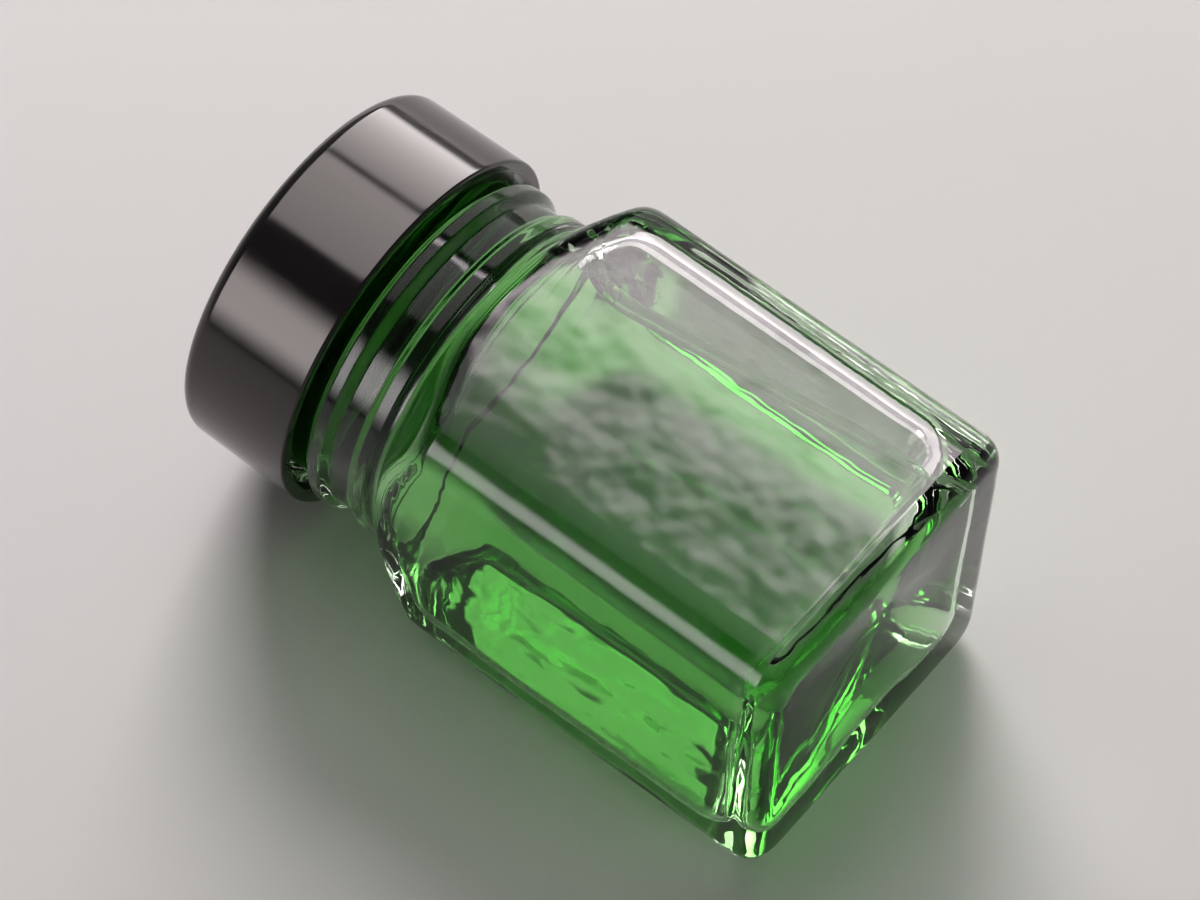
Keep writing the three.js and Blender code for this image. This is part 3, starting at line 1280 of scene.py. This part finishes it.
@dataclass
class Liner:
    """The cap's liner: a pulpboard wad in the crown and a white facing on the lip."""

    glass: GlassBottle
    facing_radius: float = 17.65 * MM
    facing_thickness: float = 0.4 * MM
    wad_radius: float = 18.35 * MM
    wad_thickness: float = 0.9 * MM
    seat_gap: float = 0.3 * MM
    soft_edge: float = 0.15 * MM
    imprint_depth: float = 0.08 * MM
    imprint_share: float = 0.25
    row_step: float = 0.6 * MM
    pulp_wobble: float = 0.03 * MM
    pulp_seed: float = 5.0
    wad_finish: Pulpboard = Pulpboard()
    facing_finish: WhiteFacing = WhiteFacing()

    def disc_rows(self, radius: float, bottom: float, thickness: float, wobble: float) -> list[Row]:
        """Rows of a disc whose lower side keeps the lip's ring.

        Args:
            radius: The disc's radius.
            bottom: The height of its lower side.
            thickness: How thick it is.
            wobble: Its unevenness.

        Returns:
            The rows, from the middle below to the middle above.
        """
        middle = (self.glass.mouth_radius + self.glass.finish_radius) / 2
        breadth = (self.glass.finish_radius - self.glass.mouth_radius) / 2
        line = filleted([
            Corner(0.0, bottom),
            Corner(radius, bottom, self.soft_edge),
            Corner(radius, bottom + thickness, self.soft_edge),
            Corner(0.0, bottom + thickness),
        ])
        rows = []
        for spot, height in divided(line, self.row_step):
            if height < bottom + thickness * self.imprint_share:
                off = (spot - middle) / breadth
                height += self.imprint_depth * max(0.0, 1 - off * off)
            rows.append(Row(spot, height, wobble=wobble))
        return rows

    def build(self, maker: SkinMaker, lie: Lie) -> None:
        """Makes both discs and lays them in their places.

        Args:
            maker: Makes the skins.
            lie: How the bottle lies.
        """
        seat = self.glass.lip + self.seat_gap
        rows = self.disc_rows(self.facing_radius, seat, self.facing_thickness, 0.0)
        facing = maker.skin(Piece.FACING.value, rows, self.facing_finish.material())
        lay_down(facing, lie, Body.FACING, Slot.WHITE_FACING, "liner_facing")
        above = seat + self.facing_thickness + self.seat_gap
        rows = self.disc_rows(self.wad_radius, above, self.wad_thickness, self.pulp_wobble)
        wad = maker.skin(Piece.WAD.value, rows, self.wad_finish.material(), seed=self.pulp_seed)
        lay_down(wad, lie, Body.WAD, Slot.PULPBOARD, "liner_wad")


@dataclass(frozen=True)
class Softbox:
    """A rectangular lamp that faces the bottle, as bright as low to high from edge to edge.

    It leans from overhead to the far side in degrees, slants towards the base, and may be hidden
    from matt, clear or glossy surfaces, or shine on one piece only.
    """

    name: str
    lean: float
    slant: float
    width: float
    height: float
    low: float
    high: float
    distance: float = 0.9
    diffuse: bool = True
    transmission: bool = True
    gloss: bool = True
    only_for: Piece | None = None
    fade: float = 0.1
    tint: Colour = (1.0, 0.955, 0.955)

    def build(self, aim: Vector) -> None:
        """Hangs the lamp.

        Args:
            aim: The point that it faces.
        """
        lean = math.radians(self.lean)
        rest = math.sqrt(1 - self.slant ** 2)
        outward = Vector((self.slant, rest * math.sin(lean), rest * math.cos(lean)))
        side = (Vector((1, 0, 0)) - outward * self.slant).normalized()
        turn = Matrix((side, outward.cross(side), outward)).transposed().to_4x4()
        lamp = bpy.data.lights.new(self.name, "AREA")
        lamp.shape = "RECTANGLE"
        lamp.size = self.width
        lamp.size_y = self.height
        lamp.energy = LAMP_POWER * self.width * self.height
        lamp.color = self.tint
        lamp.use_nodes = True
        net = NodeNet(lamp.node_tree)
        lamp.node_tree.nodes.clear()
        spread = net.node("ShaderNodeNewGeometry", out="Parametric")
        up = net.node("ShaderNodeSeparateXYZ", {}, {"Vector": spread}, "Y")
        edges = (up / self.fade).eased() * ((1 - up) / self.fade).eased()
        glow = {"Strength": (self.low + up * (self.high - self.low)) * edges}
        shine = net.node("ShaderNodeEmission", {}, glow)
        output = lamp.node_tree.nodes.new("ShaderNodeOutputLight")
        lamp.node_tree.links.new(shine.socket, output.inputs["Surface"])
        stand = bpy.data.objects.new(self.name, lamp)
        stand.matrix_world = Matrix.Translation(aim + outward * self.distance) @ turn
        stand.visible_camera = False
        stand.visible_diffuse = self.diffuse
        stand.visible_transmission = self.transmission
        stand.visible_glossy = self.gloss
        if self.only_for is not None:
            lit = bpy.data.collections.new(f"{self.name}_receivers")
            lit.objects.link(bpy.data.objects[self.only_for.value])
            stand.light_linking.receiver_collection = lit
        bpy.context.scene.collection.objects.link(stand)


@dataclass
class Studio:
    """Camera, floor, lamps and surroundings."""

    aim: Vector = field(default_factory=lambda: Vector((0.421, 1.076, 20.364)) * MM)
    distance: float = 633.33 * MM
    azimuth: float = math.radians(36.6525)
    elevation: float = math.radians(58.0414)
    roll: float = math.radians(2.1553)
    lens: float = 191.222
    sensor: float = 36.0
    flare_distance: float = 0.93
    fill_distance: float = 1.0
    floor_reach: float = 3.0
    horizon: Colour = (0.3, 0.292, 0.29)
    zenith: Colour = (0.05, 0.048, 0.048)
    dusk_slope: float = 2.2
    dusk_start: float = 0.1
    seen_through: float = 3.0
    front_share: float = 0.7
    front_slope: float = 1.6
    light_ways: int = 28

    def softboxes(self) -> list[Softbox]:
        """The lamps round the bottle.

        Returns:
            The lamps, with the flares a little farther out than the softboxes.
        """
        return [
            Softbox("back_softbox", 59, -0.3, 0.4, 0.8, 0.7, 0.7, transmission=False),
            Softbox("back_glow", 59, 0.35, 0.4, 0.8, 2.6, 2.6, diffuse=False, gloss=False),
            Softbox("back_flare", 59, -0.3, 0.41, 0.86, 1.6, 5.6, self.flare_distance,
                    diffuse=False, transmission=False, only_for=Piece.CAP),
            Softbox("key_softbox", 48, -0.6, 0.5, 0.5, 8.5, 8.5, transmission=False, gloss=False),
            Softbox("side_glow", 30, -0.85, 0.7, 0.7, 6.5, 6.5, diffuse=False, gloss=False),
            Softbox("top_softbox", 6.3, -0.3, 0.4, 0.85, 0.4, 0.95),
            Softbox("cap_flare", 6.3, -0.3, 0.41, 0.87, 1.7, 2.3, self.flare_distance,
                    diffuse=False, transmission=False, only_for=Piece.CAP),
            Softbox("glass_flare", 27.6, -0.3, 0.41, 0.115, 4.6, 4.6, self.flare_distance,
                    diffuse=False, transmission=False, only_for=Piece.GLASS, fade=0.5,
                    tint=(1.0, 0.87, 0.93)),
            Softbox("front_softbox", -66, -0.3, 0.42, 0.76, 3.7, 3.7, diffuse=False, fade=0.38),
            Softbox("floor_fill", 0, 0, 1.2, 1.2, 0.15, 0.15, self.fill_distance,
                    transmission=False, gloss=False),
        ]

    def build_camera(self) -> None:
        """Sets up the camera."""
        azimuth, elevation = self.azimuth, self.elevation
        flat = math.cos(elevation)
        back = Vector((math.sin(azimuth) * flat, -math.cos(azimuth) * flat, math.sin(elevation)))
        level = Vector((math.cos(azimuth), math.sin(azimuth), 0))
        rise = back.cross(level)
        right = math.cos(self.roll) * level + math.sin(self.roll) * rise
        turn = Matrix((right, back.cross(right), back)).transposed().to_4x4()
        lens = bpy.data.cameras.new("photo_camera")
        lens.lens = self.lens
        lens.sensor_width = self.sensor
        lens.sensor_fit = "HORIZONTAL"
        camera = bpy.data.objects.new("photo_camera", lens)
        camera.matrix_world = Matrix.Translation(self.aim + back * self.distance) @ turn
        bpy.context.scene.collection.objects.link(camera)
        bpy.context.scene.camera = camera

    def build_floor(self) -> None:
        """Lays the floor."""
        reach = self.floor_reach
        mesh = bpy.data.meshes.new("floor")
        corners = [(-reach, -reach, 0), (reach, -reach, 0), (reach, reach, 0), (-reach, reach, 0)]
        mesh.from_pydata(corners, [], [(0, 1, 2, 3)])
        mesh.materials.append(PaleFloor().material())
        floor = bpy.data.objects.new("floor", mesh)
        bpy.context.scene.collection.objects.link(floor)

    def build_surroundings(self) -> None:
        """Makes the dim room, pale at the horizon and dark overhead.

        Through clear pieces its front looks brighter, by seen_through.
        """
        world = bpy.data.worlds.new("room")
        world.use_nodes = True
        world.node_tree.nodes.clear()
        net = NodeNet(world.node_tree)
        way = net.node("ShaderNodeTexCoord", out="Generated")
        height = net.node("ShaderNodeSeparateXYZ", {}, {"Vector": way}, "Z")
        dusk = (height * self.dusk_slope - self.dusk_start).eased()
        shade = Finish.blend(net, dusk, self.horizon, self.zenith)
        through = net.node("ShaderNodeLightPath", out="Is Transmission Ray")
        front = (self.front_share - self.front_slope * height.sibling("Y")).eased()
        strength = 1 + (self.seen_through - 1) * through * front
        glow = net.node("ShaderNodeBackground", {}, {"Color": shade, "Strength": strength})
        output = world.node_tree.nodes.new("ShaderNodeOutputWorld")
        world.node_tree.links.new(glow.socket, output.inputs["Surface"])
        bpy.context.scene.world = world

    def build(self) -> None:
        """Sets up the whole studio."""
        self.build_camera()
        self.build_floor()
        self.build_surroundings()
        for softbox in self.softboxes():
            softbox.build(self.aim)
        scene = bpy.context.scene
        scene.view_settings.view_transform = "Standard"
        for count in ("max_bounces", "transmission_bounces", "transparent_max_bounces"):
            setattr(scene.cycles, count, self.light_ways)


def main() -> None:
    """Builds the pieces and the studio."""
    logging.basicConfig(level=logging.INFO, format="%(name)s %(message)s")
    lie = Lie.from_record(frame["record"])
    maker = SkinMaker()
    glass = GlassBottle()
    bubble = Bubble()
    glass.build(maker, bubble, lie)
    Contents(glass, bubble).build(maker, lie)
    ScrewCap(glass).build(maker, lie)
    Liner(glass).build(maker, lie)
    Studio().build()


if __name__ == "__main__":
    main()
